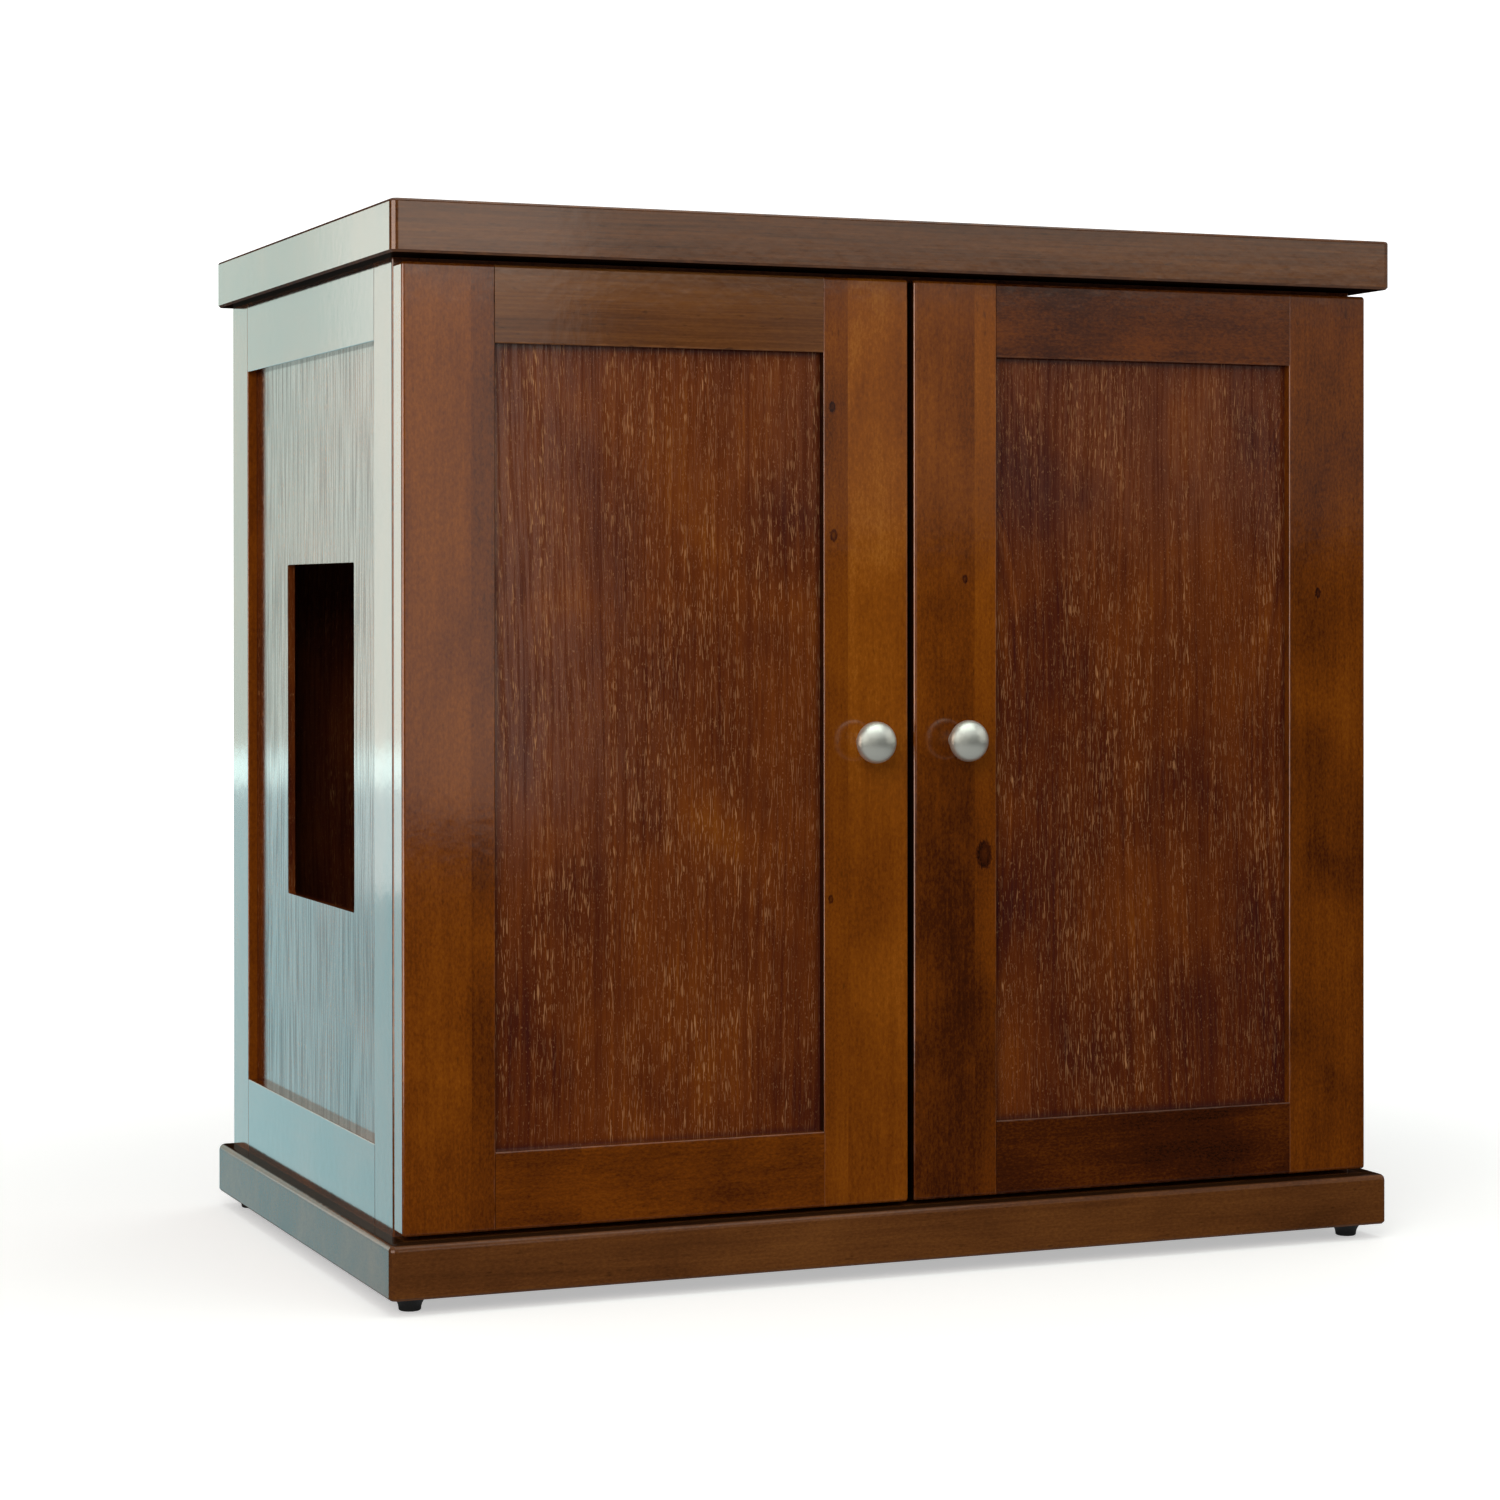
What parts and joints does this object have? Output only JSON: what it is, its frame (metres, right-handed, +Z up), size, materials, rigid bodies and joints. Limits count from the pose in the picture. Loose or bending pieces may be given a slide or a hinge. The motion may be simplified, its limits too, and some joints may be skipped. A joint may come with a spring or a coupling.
{
  "type": "cat litter box cabinet",
  "caption": "Wooden cabinet with frame-and-panel doors on concealed hinges, a side entry opening for a cat, and an inner bay that hides a litter box.",
  "frame": {"origin": "on the floor under the middle of the cabinet's bounding box, knobs included", "axes": "+X to the right seen from the front, +Y from the doors to the back, +Z up; the doors face -Y and the entry opening faces -X"},
  "size_m": [0.711, 0.4606, 0.685],
  "materials": {
    "board_lacquer": "gloss lacquer over dark walnut stain",
    "frame_lacquer": "gloss lacquer over walnut stain, solid wood",
    "panel_veneer": "gloss lacquer over red-brown stained open-pore veneer",
    "inner_rail": "thin satin lacquer, inside the case",
    "back_plywood": "stained plywood, satin",
    "satin_nickel": "satin nickel plating",
    "plated_steel": "nickel-plated pressed steel",
    "zinc_screws": "zinc plated",
    "foot_rubber": "matte black",
    "catch_plastic": "brown moulded plastic",
    "magnet_face": "bare magnet faces, dark grey"
  },
  "bodies": {
    "cabinet": {"back_panel": "back_plywood", "base_board": "board_lacquer", "catch_body": "catch_plastic", "catch_magnets": "magnet_face", "front_left_foot": "foot_rubber", "front_right_foot": "foot_rubber", "front_top_rail": "inner_rail", "left_lower_hinge_arm": "plated_steel", "left_lower_hinge_plate": "plated_steel", "left_side_bottom_rail": "frame_lacquer", "left_side_front_stile": "frame_lacquer", "left_side_panel": "panel_veneer", "left_side_rear_stile": "frame_lacquer", "left_side_top_rail": "frame_lacquer", "left_upper_hinge_arm": "plated_steel", "left_upper_hinge_plate": "plated_steel", "rear_left_foot": "foot_rubber", "rear_right_foot": "foot_rubber", "rear_top_rail": "inner_rail", "right_lower_hinge_arm": "plated_steel", "right_lower_hinge_plate": "plated_steel", "right_side_bottom_rail": "frame_lacquer", "right_side_front_stile": "frame_lacquer", "right_side_panel": "panel_veneer", "right_side_rear_stile": "frame_lacquer", "right_side_top_rail": "frame_lacquer", "right_upper_hinge_arm": "plated_steel", "right_upper_hinge_plate": "plated_steel", "top_board": "board_lacquer"},
    "left_door": {"left_door_bottom_rail": "frame_lacquer", "left_door_hinge_stile": "frame_lacquer", "left_door_meeting_stile": "frame_lacquer", "left_door_panel": "panel_veneer", "left_door_top_rail": "frame_lacquer", "left_hinge_pins": "plated_steel", "left_knob": "satin_nickel", "left_knob_screw": "zinc_screws", "left_lower_hinge_cup": "plated_steel", "left_strike_plate": "plated_steel", "left_upper_hinge_cup": "plated_steel"},
    "right_door": {"right_door_bottom_rail": "frame_lacquer", "right_door_hinge_stile": "frame_lacquer", "right_door_meeting_stile": "frame_lacquer", "right_door_panel": "panel_veneer", "right_door_top_rail": "frame_lacquer", "right_hinge_pins": "plated_steel", "right_knob": "satin_nickel", "right_knob_screw": "zinc_screws", "right_lower_hinge_cup": "plated_steel", "right_strike_plate": "plated_steel", "right_upper_hinge_cup": "plated_steel"}
  },
  "joints": [
    {"name": "left_door_hinge", "type": "hinge", "parent": "cabinet", "child": "left_door", "pos_m": [-0.3375, -0.19425, 0.3475], "axis": [0, 0, -1], "range_deg": [0, 105]},
    {"name": "right_door_hinge", "type": "hinge", "parent": "cabinet", "child": "right_door", "pos_m": [0.3375, -0.19425, 0.3475], "axis": [0, 0, 1], "range_deg": [0, 105]}
  ]
}
